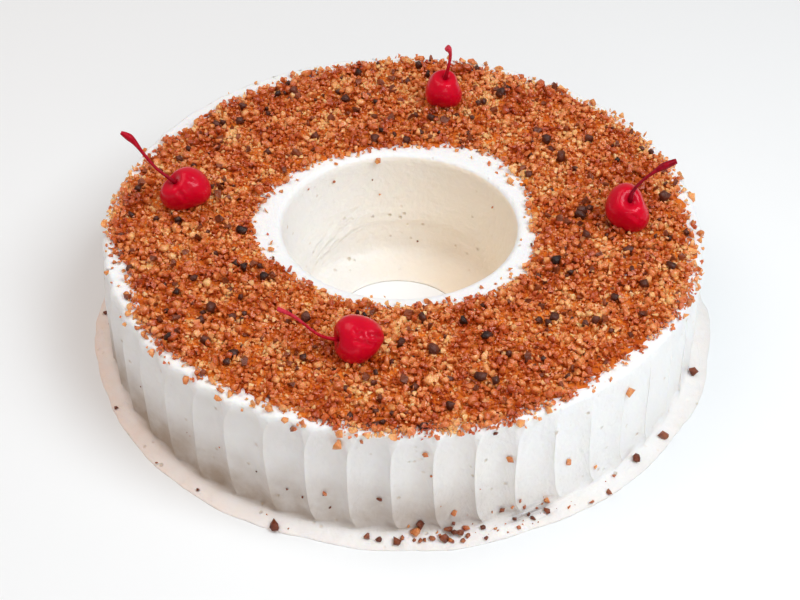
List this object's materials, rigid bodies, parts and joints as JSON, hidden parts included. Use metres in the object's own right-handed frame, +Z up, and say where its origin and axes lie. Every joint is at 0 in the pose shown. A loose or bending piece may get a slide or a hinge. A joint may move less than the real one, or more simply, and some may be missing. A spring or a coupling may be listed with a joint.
{
  "type": "ring cake",
  "caption": "Round ring cake iced in white cream with fluted sides, its top covered in praline crumble and set with stemmed cherries.",
  "frame": {"origin": "on the table, on the ring's axis: the bottom centre of the box around the cake", "axes": "+Z up, along the axis of the hole; the picture looks along +Y from the front, with +X to the right"},
  "size_m": [0.2802, 0.2794, 0.0949],
  "materials": {
    "icing": "off-white whipped cream, soft satin, with spatula marks",
    "crumble": "amber to dark brown caramelised crumbs, slightly glassy",
    "cherry": "deep red glossy candied fruit with a dark red stem"
  },
  "bodies": {
    "root": {"iced_ring": "icing", "praline_crumble": "crumble", "cherry_left": "cherry", "cherry_back": "cherry", "cherry_right": "cherry", "cherry_front": "cherry"}
  },
  "joints": []
}
